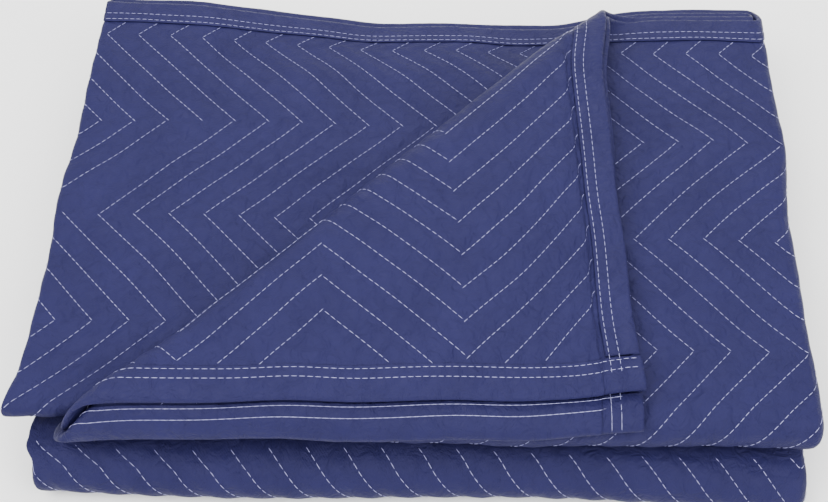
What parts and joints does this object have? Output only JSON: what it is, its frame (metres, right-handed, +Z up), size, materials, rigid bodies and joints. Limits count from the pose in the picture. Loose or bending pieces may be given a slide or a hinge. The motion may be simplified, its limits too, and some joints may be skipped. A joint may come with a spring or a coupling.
{
  "type": "folded moving blanket",
  "caption": "Quilted blue moving blanket with bound edges, folded into a soft pile with one corner turned back.",
  "frame": {"origin": "centre of the pile's footprint, on the surface it lies on", "axes": "+X across the pile to its folded right side, +Y to its open back, +Z up; front is -Y"},
  "size_m": [0.4602, 0.3623, 0.099],
  "materials": {
    "cloth": "matte",
    "binding": "matte"
  },
  "bodies": {
    "root": {"quilted_panel": "cloth", "side_binding_outer": "binding", "side_binding_inner": "binding", "end_binding_top": "binding", "end_binding_tucked": "binding"}
  },
  "joints": []
}
